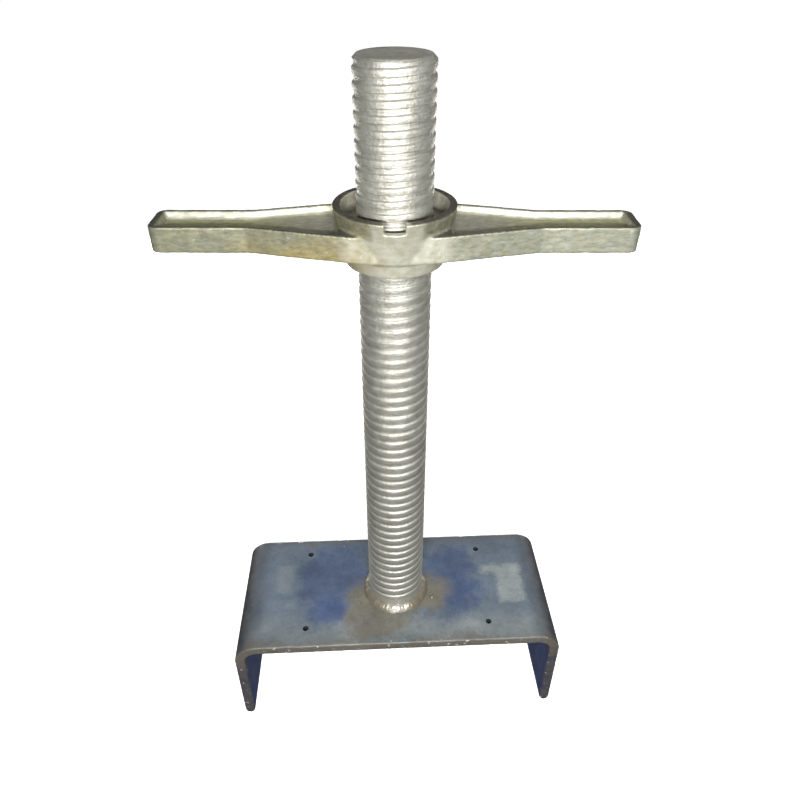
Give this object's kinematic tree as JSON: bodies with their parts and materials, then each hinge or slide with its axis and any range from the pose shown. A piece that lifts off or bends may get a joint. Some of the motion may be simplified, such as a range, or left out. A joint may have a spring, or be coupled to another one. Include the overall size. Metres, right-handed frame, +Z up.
{
  "type": "u-head jack",
  "caption": "Adjustable U-head screw jack: bent steel U-head welded to a threaded spindle, with a cast two-handled wing nut that sets its height.",
  "frame": {"origin": "on the floor under the spindle's axis, midway between the two flange tips that the jack stands on", "axes": "+Z up along the spindle, +X along the U-head's width, +Y along its depth, away from the notch in the nut's rim"},
  "size_m": [0.2394, 0.095, 0.425],
  "materials": {
    "mill_scale_steel": "bare rolled steel with blue-grey mill scale, rust at the edges",
    "galvanised_thread": "galvanised, semi-gloss",
    "weld_metal": "bright weld bead with brown heat tint",
    "passivated_casting": "zinc plated and yellow passivated, rough cast"
  },
  "bodies": {
    "head_and_spindle": {"u_head": "mill_scale_steel", "spindle": "galvanised_thread", "weld_bead": "weld_metal"},
    "nut": {"wing_nut": "passivated_casting"}
  },
  "joints": [
    {"name": "nut_travel", "type": "slide", "parent": "head_and_spindle", "child": "nut", "axis": [0, 0, 1], "range_m": [-0.248, 0.0682]}
  ]
}
